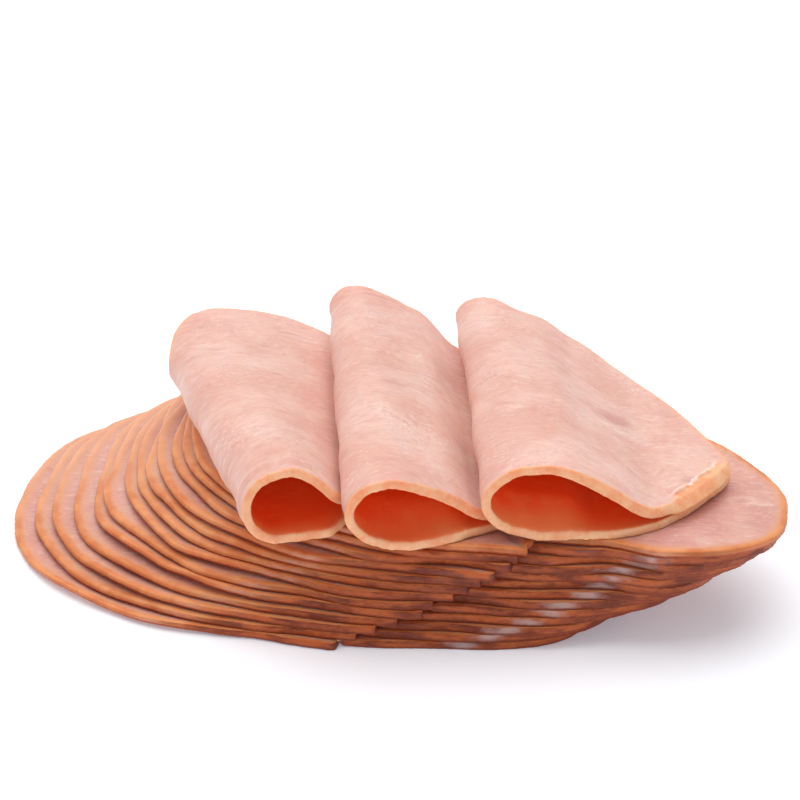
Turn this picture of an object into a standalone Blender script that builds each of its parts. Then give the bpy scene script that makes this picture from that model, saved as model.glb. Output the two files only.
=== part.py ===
"""Sliced chicken breast: a leaning stack of flat slices with three folded slices laid on top.

Lengths are worked in millimetres in the stack's own layout frame and turned into metres
when a body is made. The front of the stack faces -Y.
"""
import math

import bmesh
import bpy
import numpy as np

MM = 0.001

# ---- flat slices ---------------------------------------------------------------------
FLAT_THICKNESS = 1.75
FLAT_GAP = 0.33
FLAT_PITCH = FLAT_THICKNESS + FLAT_GAP

# How far each slice has slid to the right of the bottom one, bottom slice first.
SLIDES = (0.0, 5.5, 9.8, 15.0, 20.5, 23.5, 28.0, 31.0, 34.0, 36.5, 40.5, 43.0, 45.0)

# The slice outline is four quarter superellipses between its four extreme points.
LEFT_TIP = (-96.5, 22.0)
BACK_TIP = (-60.0, 71.0)
RIGHT_TIP = (47.0, -12.0)
FRONT_TIP = (14.0, -40.5)
BACK_LEFT_POWER = 2.5
BACK_RIGHT_POWER = 1.45
FRONT_RIGHT_POWER = 2.8
FRONT_LEFT_POWER = 2.35

NOTCH_X = -15.2
NOTCH_HALF_WIDTH = 4.0
NOTCH_DEPTH = 3.6

DROOP_START_X = 60.0
DROOP_REACH = 31.0
DROOP_DEPTH = 1.6

FLAT_COLUMNS = 30

# ---- folded slices -------------------------------------------------------------------
FOLD_THICKNESS = 2.2
FLAP_GAP = 0.32
REST_GAP = 0.35
LIFT_FRONT_EASE = 11.0
LIFT_SIDE_EASE = 9.0
CLOSING_SOFTNESS = 0.20
FOLD_ROWS = (0.0, 0.03, 0.08, 0.14, 0.23, 0.38, 0.54, 0.70, 0.85, 0.95, 1.0)
LOOP_STEPS = 6
FLAP_STEPS = 9

# spine_front, spine_back : the two ends of the fold line, seen from above
# loop_front, loop_back : reach of the rounded fold before its top, at each end
# heel_radius : reach of the rounded fold before its foot
# close_front, close_back : distance from the fold line where the two flaps meet
# reach : distance from the fold line to the edge of the flaps
# power_front, power_back : how roundly the upper flap falls from the loop to there
# height_front, height_back : outside height of the loop
# front_* and back_* : how the front and back edges run away from the fold line
# lift : height of the neighbour's flaps underneath, lift_front and lift_side where it runs
FOLDED = {
    "folded_slice_left": {
        "spine_front": (-34.6, -39.2), "spine_back": (-59.0, 44.5),
        "loop_front": 9.6, "loop_back": 9.6, "heel_radius": 7.8,
        "close_front": 24.5, "close_back": 44.0,
        "power_front": 1.5, "power_back": 1.5,
        "reach": 49.0, "height_front": 19.2, "height_back": 13.2,
        "front_start": 20.0, "front_retreat": 30.0, "front_power": 1.0,
        "back_length": 93.5, "back_slope": 0.42, "back_corner": 13.0, "back_corner_width": 9.0,
        "back_retreat": 30.0, "back_power": 3.0,
        "lift": 0.0, "lift_front": 0.0, "lift_side": 0.0,
    },
    "folded_slice_middle": {
        "spine_front": (-11.9, -41.5), "spine_back": (-17.9, 68.0),
        "loop_front": 9.9, "loop_back": 7.0, "heel_radius": 12.4,
        "close_front": 31.5, "close_back": 31.0,
        "power_front": 1.15, "power_back": 0.9,
        "reach": 49.0, "height_front": 19.2, "height_back": 17.3,
        "front_start": 14.0, "front_retreat": 13.5, "front_power": 1.0,
        "back_length": 109.5, "back_slope": -0.35, "back_corner": 3.0, "back_corner_width": 5.0,
        "back_retreat": 25.0, "back_power": 3.0,
        "lift": 5.1, "lift_front": 2.5, "lift_side": 21.0,
    },
    "folded_slice_right": {
        "spine_front": (19.8, -37.0), "spine_back": (15.2, 64.0),
        "loop_front": 13.9, "loop_back": 7.5, "heel_radius": 18.4,
        "close_front": 37.5, "close_back": 40.0,
        "power_front": 1.45, "power_back": 0.85,
        "reach": 60.0, "height_front": 20.2, "height_back": 16.6,
        "front_start": 25.0, "front_retreat": 25.0, "front_power": 2.0,
        "back_length": 100.0, "back_slope": -0.5, "back_corner": 3.0, "back_corner_width": 6.0,
        "back_retreat": 43.0, "back_power": 4.5,
        "lift": 5.3, "lift_front": -1.0, "lift_side": 17.5,
    },
}

# ---- looks ---------------------------------------------------------------------------
MEAT_COLOUR = (0.80, 0.42, 0.34, 1.0)
MEAT_ROUGHNESS = 0.45


def smooth_step(value):
    """Ease from 0 to 1 as value runs from 0 to 1."""
    part = np.clip(value, 0.0, 1.0)
    return part * part * (3.0 - 2.0 * part)


def quarter_curve(fraction, power):
    """Height of a quarter superellipse at a fraction of its half width."""
    part = np.clip(fraction, 0.0, 1.0)
    return (1.0 - part ** power) ** (1.0 / power)


def quarter_edge(x, side_tip, end_tip, power):
    """Y of the outline between a side tip and an end tip."""
    fraction = (end_tip[0] - x) / (end_tip[0] - side_tip[0])
    return side_tip[1] + (end_tip[1] - side_tip[1]) * quarter_curve(fraction, power)


def back_edge(x):
    """Y of the back of a slice."""
    left = quarter_edge(x, LEFT_TIP, BACK_TIP, BACK_LEFT_POWER)
    right = quarter_edge(x, RIGHT_TIP, BACK_TIP, BACK_RIGHT_POWER)
    return np.where(x < BACK_TIP[0], left, right)


def front_edge(x):
    """Y of the front of a slice, with the notch that runs down the whole stack."""
    left = quarter_edge(x, LEFT_TIP, FRONT_TIP, FRONT_LEFT_POWER)
    right = quarter_edge(x, RIGHT_TIP, FRONT_TIP, FRONT_RIGHT_POWER)
    cut = np.clip(1.0 - np.abs(x - NOTCH_X) / NOTCH_HALF_WIDTH, 0.0, 1.0)
    return np.where(x < FRONT_TIP[0], left, right) + NOTCH_DEPTH * cut


def outline_columns():
    """X stations across a slice, closer together towards its tips and at the notch."""
    angle = np.linspace(0.0, math.pi, FLAT_COLUMNS)
    across = (1.0 - np.cos(angle)) / 2.0
    x = LEFT_TIP[0] + (RIGHT_TIP[0] - LEFT_TIP[0]) * across
    notch = NOTCH_X + NOTCH_HALF_WIDTH * np.array([-1.0, 0.0, 1.0])
    clear = np.abs(x - NOTCH_X) > NOTCH_HALF_WIDTH * 1.3
    return np.sort(np.concatenate([x[clear], notch]))


def underside_height(level, x):
    """Height of the underside of a flat slice; the far right end hangs a little."""
    hang = np.clip((x - DROOP_START_X) / DROOP_REACH, 0.0, None) ** 2
    return level * FLAT_PITCH - DROOP_DEPTH * hang


def flat_slice_faces(level):
    """Points and faces of one flat slice."""
    own_x = outline_columns()
    x = own_x + SLIDES[level]
    low = underside_height(level, x)
    front, back = front_edge(own_x), back_edge(own_x)
    points = []
    for height in (low, low + FLAT_THICKNESS):
        points.append(np.column_stack([x, front, height]))
        inner = slice(1, len(x) - 1)
        points.append(np.column_stack([x[inner], back[inner], height[inner]]))
    count = len(x)
    level_size = 2 * count - 2

    def front_index(column, layer):
        return layer * level_size + column

    def back_index(column, layer):
        if column in (0, count - 1):
            return front_index(column, layer)
        return layer * level_size + count + column - 1

    faces = []
    for column in range(count - 1):
        ahead = column + 1
        for layer in (0, 1):
            ring = [front_index(column, layer), front_index(ahead, layer),
                    back_index(ahead, layer), back_index(column, layer)]
            ring = list(dict.fromkeys(ring))
            faces.append(ring if layer else ring[::-1])
        faces.append([front_index(column, 0), front_index(ahead, 0),
                      front_index(ahead, 1), front_index(column, 1)])
        faces.append([back_index(ahead, 0), back_index(column, 0),
                      back_index(column, 1), back_index(ahead, 1)])
    return np.vstack(points), faces


def fold_stations(fold):
    """Signed distances from the fold line: the lower flap is negative, the upper positive."""
    quarter = np.linspace(0.0, math.pi / 2.0, LOOP_STEPS + 1)

    def half(radius):
        loop = radius * (1.0 - np.cos(quarter))
        flap = np.linspace(radius, fold["reach"], FLAP_STEPS + 1)[1:]
        return np.concatenate([loop, flap])

    lower = half(fold["heel_radius"])
    upper = half(fold["loop_front"])
    return np.concatenate([-lower[::-1], upper[1:]])


def closing_curve(value):
    """A ramp that eases into zero instead of stopping dead."""
    return 0.5 * (value + np.sqrt(value * value + CLOSING_SOFTNESS ** 2))


def fold_lift(fold, distance, along):
    """How far the sheet is held up by the flaps of the folded slice beside it."""
    lengthwise = smooth_step((along - fold["lift_front"]) / LIFT_FRONT_EASE)
    sideways = smooth_step((fold["lift_side"] + LIFT_SIDE_EASE - distance) / LIFT_SIDE_EASE)
    return fold["lift"] * lengthwise * sideways


def fold_section(fold, station, along):
    """Distance from the fold line and middle height of the sheet above the stack's top."""
    share = np.clip(along / fold["back_length"], 0.0, 1.0)
    outside = fold["height_front"] + (fold["height_back"] - fold["height_front"]) * share
    distance = abs(station)
    foot = FOLD_THICKNESS / 2.0 + fold_lift(fold, distance, along)
    top = outside - FOLD_THICKNESS / 2.0
    middle = (FOLD_THICKNESS / 2.0 + fold_lift(fold, 0.0, along) + top) / 2.0
    if station < 0.0:
        turn = math.acos(1.0 - min(1.0, distance / fold["heel_radius"]))
        return distance, middle - (middle - foot) * math.sin(turn)
    loop = fold["loop_front"] + (fold["loop_back"] - fold["loop_front"]) * share
    if distance < loop:
        turn = math.acos(1.0 - distance / loop)
        return distance, middle + (top - middle) * math.sin(turn)
    closed = foot + FOLD_THICKNESS + FLAP_GAP
    meet = fold["close_front"] + (fold["close_back"] - fold["close_front"]) * share
    run = (distance - loop) / (meet - loop)
    power = fold["power_front"] + (fold["power_back"] - fold["power_front"]) * share
    fall = closing_curve(1.0 - run ** power) / closing_curve(1.0)
    return distance, closed + (top - closed) * fall


def fold_ends(fold, distance):
    """Where the front and back edges lie along the fold line."""
    beyond = max(0.0, distance - fold["front_start"]) / (fold["reach"] - fold["front_start"])
    front = fold["front_retreat"] * beyond ** fold["front_power"]
    corner = max(0.0, 1.0 - distance / fold["back_corner_width"]) ** 2
    back = fold["back_length"] + fold["back_slope"] * distance - fold["back_corner"] * corner
    back -= fold["back_retreat"] * (distance / fold["reach"]) ** fold["back_power"]
    return front, back


def fold_surfaces(fold, foot_height):
    """Inner and outer grids of a folded slice, stations by rows."""
    stations = fold_stations(fold)
    start = np.array(fold["spine_front"])
    run = np.array(fold["spine_back"]) - start
    along_axis = run / np.hypot(*run)
    across_axis = np.array([along_axis[1], -along_axis[0]])
    half = FOLD_THICKNESS / 2.0
    probe = 0.02
    outer, inner = [], []
    for index, station in enumerate(stations):
        front, back = fold_ends(fold, abs(station))
        outer_row, inner_row = [], []
        for share in FOLD_ROWS:
            along = front + (back - front) * share
            distance, height = fold_section(fold, station, along)
            if index == LOOP_STEPS + FLAP_STEPS:
                normal = np.array([-1.0, 0.0])
            else:
                step = math.copysign(probe, station)
                near = fold_section(fold, station - step, along)
                far = fold_section(fold, station + step, along)
                tangent = np.array([far[0] - near[0], far[1] - near[1]])
                tangent = tangent / np.hypot(*tangent)
                normal = np.array([-tangent[1], tangent[0]]) * math.copysign(1.0, station)
            for rows, side in ((outer_row, 1.0), (inner_row, -1.0)):
                place = distance + side * half * normal[0]
                rise = height + side * half * normal[1]
                rise += foot_height
                flat = start + place * across_axis + along * along_axis
                rows.append((flat[0], flat[1], rise))
        outer.append(outer_row)
        inner.append(inner_row)
    return np.array(outer), np.array(inner)


def shell_faces(outer, inner):
    """Close the space between two equal grids into one body."""
    stations, rows, _ = outer.shape
    points = np.vstack([outer.reshape(-1, 3), inner.reshape(-1, 3)])
    far = stations * rows

    def index(station, row, side):
        return side * far + station * rows + row

    faces = []
    for station in range(stations - 1):
        for row in range(rows - 1):
            ring = [(station, row), (station + 1, row), (station + 1, row + 1), (station, row + 1)]
            faces.append([index(s, r, 0) for s, r in ring])
            faces.append([index(s, r, 1) for s, r in ring[::-1]])
    for station in range(stations - 1):
        for row, turn in ((0, -1), (rows - 1, 1)):
            ring = [index(station, row, 0), index(station + 1, row, 0),
                    index(station + 1, row, 1), index(station, row, 1)]
            faces.append(ring[::turn])
    for row in range(rows - 1):
        for station, turn in ((0, 1), (stations - 1, -1)):
            ring = [index(station, row, 0), index(station, row + 1, 0),
                    index(station, row + 1, 1), index(station, row, 1)]
            faces.append(ring[::turn])
    return points, faces


def meat_material(name):
    """Plain cooked meat, one for each body."""
    material = bpy.data.materials.new(name + "_meat")
    material.use_nodes = True
    shader = material.node_tree.nodes["Principled BSDF"]
    shader.inputs["Base Color"].default_value = MEAT_COLOUR
    shader.inputs["Roughness"].default_value = MEAT_ROUGHNESS
    return material


def make_body(name, points, faces):
    """Turn points in millimetres and faces into a named closed body in metres."""
    mesh = bpy.data.meshes.new(name)
    mesh.from_pydata([tuple(point * MM) for point in points], [], faces)
    body = bmesh.new()
    body.from_mesh(mesh)
    bmesh.ops.triangulate(body, faces=body.faces[:])
    bmesh.ops.recalc_face_normals(body, faces=body.faces[:])
    body.to_mesh(mesh)
    body.free()
    mesh.materials.append(meat_material(name))
    thing = bpy.data.objects.new(name, mesh)
    bpy.context.scene.collection.objects.link(thing)


def build():
    """Make every slice, centred so the origin is the middle of the footprint."""
    for thing in list(bpy.data.objects):
        bpy.data.objects.remove(thing)
    bodies = {}
    for level in range(len(SLIDES)):
        bodies[f"slice_{level + 1:02d}"] = flat_slice_faces(level)
    foot = (len(SLIDES) - 1) * FLAT_PITCH + FLAT_THICKNESS + REST_GAP
    for name, fold in FOLDED.items():
        bodies[name] = shell_faces(*fold_surfaces(fold, foot))
    every_point = np.vstack([points for points, _ in bodies.values()])
    low, high = every_point.min(axis=0), every_point.max(axis=0)
    centre = np.array([(low[0] + high[0]) / 2.0, (low[1] + high[1]) / 2.0, low[2]])
    for name, (points, faces) in bodies.items():
        make_body(name, points - centre, faces)


build()
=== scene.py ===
"""Sliced chicken breast: a leaning stack of smoked-rind slices with folded slices laid on top.

Lengths are worked in millimetres in the stack's own layout and turned into metres when a
mesh is made. The front of the stack faces -Y.
"""
import math

import bpy
import numpy as np
from bpy.props import (FloatProperty, FloatVectorProperty, IntProperty, PointerProperty,
                       StringProperty)
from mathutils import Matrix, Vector


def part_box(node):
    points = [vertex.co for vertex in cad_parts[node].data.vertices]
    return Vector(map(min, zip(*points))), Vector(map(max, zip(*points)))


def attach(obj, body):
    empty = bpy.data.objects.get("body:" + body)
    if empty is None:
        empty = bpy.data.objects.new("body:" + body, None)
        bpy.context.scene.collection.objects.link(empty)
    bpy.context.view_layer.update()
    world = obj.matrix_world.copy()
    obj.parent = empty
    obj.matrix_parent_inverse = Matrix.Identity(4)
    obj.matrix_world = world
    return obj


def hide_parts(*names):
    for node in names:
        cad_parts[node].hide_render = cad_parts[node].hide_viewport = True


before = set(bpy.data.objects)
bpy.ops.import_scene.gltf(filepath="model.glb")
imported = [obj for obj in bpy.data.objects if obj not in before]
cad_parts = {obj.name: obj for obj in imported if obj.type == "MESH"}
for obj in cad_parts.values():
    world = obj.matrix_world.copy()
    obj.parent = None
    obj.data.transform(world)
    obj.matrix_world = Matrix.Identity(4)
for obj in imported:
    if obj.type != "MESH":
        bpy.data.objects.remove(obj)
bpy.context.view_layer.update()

bl_info = {
    "name": "Sliced Chicken Breast",
    "version": (1, 0, 0),
    "blender": (4, 5, 0),
    "location": "View3D > Sidebar > Cold Cuts",
    "description": "Builds a leaning stack of sliced chicken breast with folded slices on top",
    "category": "Add Mesh",
}

MM = 0.001
FLOOR_CLEARANCE = 0.05 * MM
ROOT = "root"
FLAT_SLOT = "flat_slice_meat"
FOLDED_SLOT = "folded_slice_meat"

# ---- layout of the stack, in millimetres -----------------------------------------------
FLAT_THICKNESS = 1.75
FLAT_GAP = 0.33
FLAT_PITCH = FLAT_THICKNESS + FLAT_GAP
SLIDES = (0.0, 5.5, 9.8, 15.0, 20.5, 23.5, 28.0, 31.0, 34.0, 36.5, 40.5, 43.0, 45.0)

LEFT_TIP = (-96.5, 22.0)
BACK_TIP = (-60.0, 71.0)
RIGHT_TIP = (47.0, -12.0)
FRONT_TIP = (14.0, -40.5)
BACK_LEFT_POWER = 2.5
BACK_RIGHT_POWER = 1.45
FRONT_RIGHT_POWER = 2.8
FRONT_LEFT_POWER = 2.35

# The notch is a slit: steep on its left side, easing out on its right, and the edge comes
# back only slowly beyond it.
NOTCH_X = -15.2
NOTCH_STEEP = 0.45
NOTCH_EASY = 1.9
NOTCH_DEPTH = 3.4
NOTCH_SHARPNESS = 1.3
NOTCH_RECESS = 1.9
NOTCH_RECOVERY = 16.0

# Towards its top the front wall leans back to the right of the notch.
LEAN_DEPTH = 4.4
LEAN_END_X = 61.0
LEAN_EASE = 15.0
LEAN_START = 1.2

# Past this point the unsupported right end hangs down a little.
DROOP_START_X = 60.0
DROOP_REACH = 31.0
DROOP_DEPTH = 1.6

FOLD_THICKNESS = 2.2
FLAP_GAP = 0.32
REST_GAP = 0.35
LIFT_FRONT_EASE = 11.0
LIFT_SIDE_EASE = 9.0
CLOSING_SOFTNESS = 0.20
FALL_EASE = 0.12
FOLD_FOOT = (len(SLIDES) - 1) * FLAT_PITCH + FLAT_THICKNESS + REST_GAP

# The folded slices: each measure for the left, the middle and the right one.
FOLD_NAMES = ("folded_slice_left", "folded_slice_middle", "folded_slice_right")
FOLD_MEASURES = {
    # The two ends of the fold line.
    "spine_front": ((-34.6, -39.2), (-11.9, -41.5), (19.8, -37.0)),
    "spine_back": ((-59.0, 44.5), (-17.9, 68.0), (15.2, 64.0)),
    # How far off the fold line the upper flap is highest and the lower one has come down.
    "loop_front": (9.6, 9.9, 13.9),
    "loop_back": (9.6, 7.0, 7.5),
    "heel_radius": (7.8, 12.4, 18.4),
    # How far off it the flaps meet, and how full the slope down to there is.
    "close_front": (24.5, 31.5, 37.5),
    "close_back": (44.0, 31.0, 40.0),
    "power_front": (1.5, 1.15, 1.45),
    "power_back": (1.5, 0.9, 0.85),
    # How far each flap reaches from the fold line, and how high the fold stands.
    "reach": (49.0, 49.0, 60.0),
    "height_front": (19.2, 19.2, 20.2),
    "height_back": (13.2, 17.3, 16.6),
    # How the front edge and the back edge draw back towards the sides.
    "front_start": (20.0, 14.0, 25.0),
    "front_retreat": (30.0, 13.5, 25.0),
    "front_power": (1.0, 1.0, 2.0),
    "back_length": (93.5, 109.5, 100.0),
    "back_slope": (0.42, -0.35, -0.5),
    "back_corner": (13.0, 3.0, 3.0),
    "back_corner_width": (9.0, 5.0, 6.0),
    "back_retreat": (30.0, 25.0, 43.0),
    "back_power": (3.0, 3.0, 4.5),
    # How far the flaps alongside lift it, from where on, and how far off the fold line.
    "lift": (0.0, 5.1, 5.3),
    "lift_front": (0.0, 2.5, -1.0),
    "lift_side": (0.0, 21.0, 17.5),
    # The crease behind the lip, the slant of the cut, and the torn corner.
    "crease": (0.52, 0.12, 0.12),
    "slant": (0.2, 0.5, 0.75),
    "torn_from": (90.0, 90.0, 43.0),
    "torn_slant": (0.0, 0.0, 1.1),
    "torn_height": (0.0, 0.0, 0.8),
    # Where its random draws start.
    "seed": (41, 52, 63),
}
FOLDED = {name: {measure: values[place] for measure, values in FOLD_MEASURES.items()}
          for place, name in enumerate(FOLD_NAMES)}

# Sheets are told apart in the patterns by a place of their own.
SHEET_SPACING = 37.0
RIGHT_SHEET = FOLDED["folded_slice_right"]["seed"] * SHEET_SPACING
# Where a blood spot lies on the right folded slice: across from the fold line, and along it.
BLOOD_SPOT = (34.0, 44.0, RIGHT_SHEET)
# The torn corner of the same slice: middle of the tear, and how wide a strip it lays bare.
TORN_PLACE = (53.0, 17.0, RIGHT_SHEET)
TORN_WIDTH = 3.4
# Where set fat shows along the front of the loaf: middle and half width.
FAT_PLACES = ((15.0, 5.0), (-59.0, 6.0))


# ---- small tools -----------------------------------------------------------------------
def linear(code):
    """A hex colour as Blender's linear red, green, blue and alpha."""
    channels = [int(code[i:i + 2], 16) / 255.0 for i in (1, 3, 5)]
    return tuple(c / 12.92 if c <= 0.04045 else ((c + 0.055) / 1.055) ** 2.4
                 for c in channels) + (1.0,)


def smooth_step(value):
    """Ease from 0 to 1 as value runs from 0 to 1."""
    part = np.clip(value, 0.0, 1.0)
    return part * part * (3.0 - 2.0 * part)


def ripple(position, length, seed, waves):
    """Irregular wobble along a closed edge; waves holds (wavelength, height) pairs."""
    chance = np.random.default_rng(seed)
    total = np.zeros_like(position)
    for wavelength, height in waves:
        for _ in range(5):
            cycles = max(1, round(length / wavelength * chance.uniform(0.7, 1.35)))
            phase = chance.uniform(0.0, 2.0 * math.pi)
            total += height * 0.45 * np.sin(2.0 * math.pi * cycles * position / length + phase)
    return total


def rolling(x, y, seed, waves):
    """Irregular swell over a face; waves holds (wavelength, height) pairs."""
    chance = np.random.default_rng(seed)
    total = np.zeros_like(x)
    for wavelength, height in waves:
        for _ in range(5):
            heading = chance.uniform(0.0, 2.0 * math.pi)
            pull = 2.0 * math.pi / (wavelength * chance.uniform(0.7, 1.4))
            phase = chance.uniform(0.0, 2.0 * math.pi)
            total += height * 0.45 * np.sin(
                pull * (x * math.cos(heading) + y * math.sin(heading)) + phase)
    return total


def layout_shift():
    """Millimetres from the layout's own zero to the object's origin."""
    low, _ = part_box("slice_01")
    return np.array([low.x / MM - LEFT_TIP[0], low.y / MM - FRONT_TIP[1], low.z / MM])


# ---- flat slices -----------------------------------------------------------------------
OUTLINE_SAMPLES = 1600


def quarter_edge(x, side_tip, end_tip, power):
    """Y of the outline between a side tip and an end tip."""
    part = np.clip((end_tip[0] - x) / (end_tip[0] - side_tip[0]), 0.0, 1.0)
    return side_tip[1] + (end_tip[1] - side_tip[1]) * (1.0 - part ** power) ** (1.0 / power)


def outline(count):
    """Evenly spaced points round a slice, anticlockwise from its left tip."""
    across = (1.0 - np.cos(np.linspace(0.0, math.pi, OUTLINE_SAMPLES))) / 2.0
    x = LEFT_TIP[0] + (RIGHT_TIP[0] - LEFT_TIP[0]) * across
    front = np.where(x < FRONT_TIP[0],
                     quarter_edge(x, LEFT_TIP, FRONT_TIP, FRONT_LEFT_POWER),
                     quarter_edge(x, RIGHT_TIP, FRONT_TIP, FRONT_RIGHT_POWER))
    back = np.where(x < BACK_TIP[0],
                    quarter_edge(x, LEFT_TIP, BACK_TIP, BACK_LEFT_POWER),
                    quarter_edge(x, RIGHT_TIP, BACK_TIP, BACK_RIGHT_POWER))
    side = np.where(x < NOTCH_X, NOTCH_STEEP, NOTCH_EASY)
    cut = np.clip(1.0 - np.abs(x - NOTCH_X) / side, 0.0, 1.0)
    past = np.clip(x - NOTCH_X, 0.0, None)
    recess = NOTCH_RECESS * (past > 0.0) * np.exp(-past / NOTCH_RECOVERY)
    front = front + np.maximum(NOTCH_DEPTH * cut ** NOTCH_SHARPNESS, recess)
    loop = np.vstack([np.column_stack([x, front]), np.column_stack([x, back])[-2:0:-1]])
    closed = np.vstack([loop, loop[:1]])
    run = np.concatenate([[0.0], np.cumsum(np.hypot(*np.diff(closed, axis=0).T))])
    wanted = np.linspace(0.0, run[-1], count, endpoint=False)
    points = np.column_stack([np.interp(wanted, run, closed[:, k]) for k in (0, 1)])
    return points, wanted, run[-1]


def round_average(values, half_width):
    """Running average round a closed loop."""
    if half_width < 1:
        return values
    width = 2 * half_width + 1
    padded = np.concatenate([values[-half_width:], values, values[:half_width]])
    kernel = np.ones(width) / width
    return np.column_stack([np.convolve(padded[:, k], kernel, "valid") for k in (0, 1)])


def outward(points):
    """Unit outward directions of an anticlockwise loop."""
    ahead = np.roll(points, -1, axis=0) - np.roll(points, 1, axis=0)
    ahead = ahead / np.maximum(np.hypot(*ahead.T), 1e-9)[:, None]
    return np.column_stack([ahead[:, 1], -ahead[:, 0]])


# Rings of a slice from its underside, round its edge, to its top. Each holds how far in
# from the edge and how far up the thickness: for a crisp edge and for a rounded one.
EDGE_RINGS = (
    (7.0, 0.0, 7.0, 0.0), (2.6, 0.0, 2.6, 0.0), (0.8, 0.0, 0.9, 0.02),
    (0.10, 0.0, 0.42, 0.08), (0.02, 0.04, 0.14, 0.20), (0.0, 0.12, 0.02, 0.34),
    (0.0, 0.50, 0.0, 0.48), (0.0, 0.88, 0.07, 0.64), (0.015, 0.96, 0.24, 0.79),
    (0.07, 0.99, 0.55, 0.91), (0.22, 1.0, 1.0, 0.975), (0.8, 1.0, 1.6, 1.0),
    (1.4, 1.0, 2.3, 1.0), (2.1, 1.0, 3.1, 1.0), (3.1, 1.0, 4.3, 1.0),
    (4.8, 1.0, 6.0, 1.0), (7.5, 1.0, 8.5, 1.0),
)
# Rings inside those, as shares of the way to the middle of the slice.
INNER_SHARES = (0.22, 0.45, 0.7)
SLICE_MIDDLE = ((LEFT_TIP[0] + RIGHT_TIP[0]) / 2.0, 14.0)
# A ring that lies this far up the thickness or lower belongs to the underside, which is coloured
# as painted shade.
UNDERSIDE_TOP = 0.7
DEEP_INSIDE = 20.0

# The edge is a little thicker than the rest: everywhere, and again in the front wall.
RIM_SWELL = 0.11
WALL_SWELL = 0.08
SWELL_REACH = 3.5
# How far each slice stands out of the front wall, bottom slice first.
EDGE_STEPS = (0.0, -0.25, 0.1, -0.1, 0.3, 0.0, 0.2, -0.2, 0.1, 0.45, 0.0, 0.2, 0.1)
# How far the free left edge lifts, and which slices have curled up further than the rest.
EDGE_CURL = 0.18
CURL_REACH = 6.0
EDGE_CURLS = {0: 0.9, 2: 0.4, 4: 1.0, 6: 0.6, 9: 0.4}
TOP_SLICE_ROUNDING = 0.75

# Unevenness, as pairs of wavelength and height.
EDGE_WAVES = ((50.0, 0.60), (17.0, 0.10), (5.5, 0.035), (2.0, 0.02))
WALL_WAVES = ((24.0, 0.13),)
CURL_WAVES = ((38.0, 0.22),)
CUT_WAVES = ((2.6, 0.045), (1.3, 0.035))
STACK_WAVES = ((60.0, 0.30), (22.0, 0.12))
FACE_WAVES = ((7.0, 0.02), (3.0, 0.012))
FLAT_SEED = 700
STACK_SEED = 5


def slice_edge(level, points, along, length):
    """The uneven edge of one slice, with its front and left shares."""
    seed = FLAT_SEED + level
    normals = outward(round_average(points, 2))
    frontward = smooth_step((-normals[:, 1] - 0.2) / 0.5)
    leftward = smooth_step((-normals[:, 0] - 0.05) / 0.5)
    height_share = level / (len(SLIDES) - 1.0)
    slid = points[:, 0] + SLIDES[level]
    lean = smooth_step((LEAN_END_X - slid) / LEAN_EASE)
    lean = lean * smooth_step((points[:, 0] - NOTCH_X) / LEAN_START)
    points[:, 1] += LEAN_DEPTH * height_share * lean * frontward
    wall = frontward * (1.0 - leftward)
    ragged = ripple(along, length, seed, EDGE_WAVES) + EDGE_STEPS[level] * frontward
    ragged = ragged + wall * ripple(along, length, seed + 90, WALL_WAVES)
    return points + normals * ragged[:, None], normals, frontward, leftward


def closed_ring_faces(count, ring_count):
    """Faces of rings of points laid one on the other, closed by a point at each end."""
    around = np.arange(count)
    ahead = (around + 1) % count
    faces = []
    for ring in range(ring_count - 1):
        start, above = 1 + ring * count, 1 + (ring + 1) * count
        faces += np.column_stack([start + around, start + ahead, above + ahead,
                                  above + around]).tolist()
    last = 1 + (ring_count - 1) * count
    pole = last + count
    pairs = list(zip(around.tolist(), ahead.tolist()))
    faces += [(0, 1 + b, 1 + a) for a, b in pairs]
    faces += [(pole, last + a, last + b) for a, b in pairs]
    return faces


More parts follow.
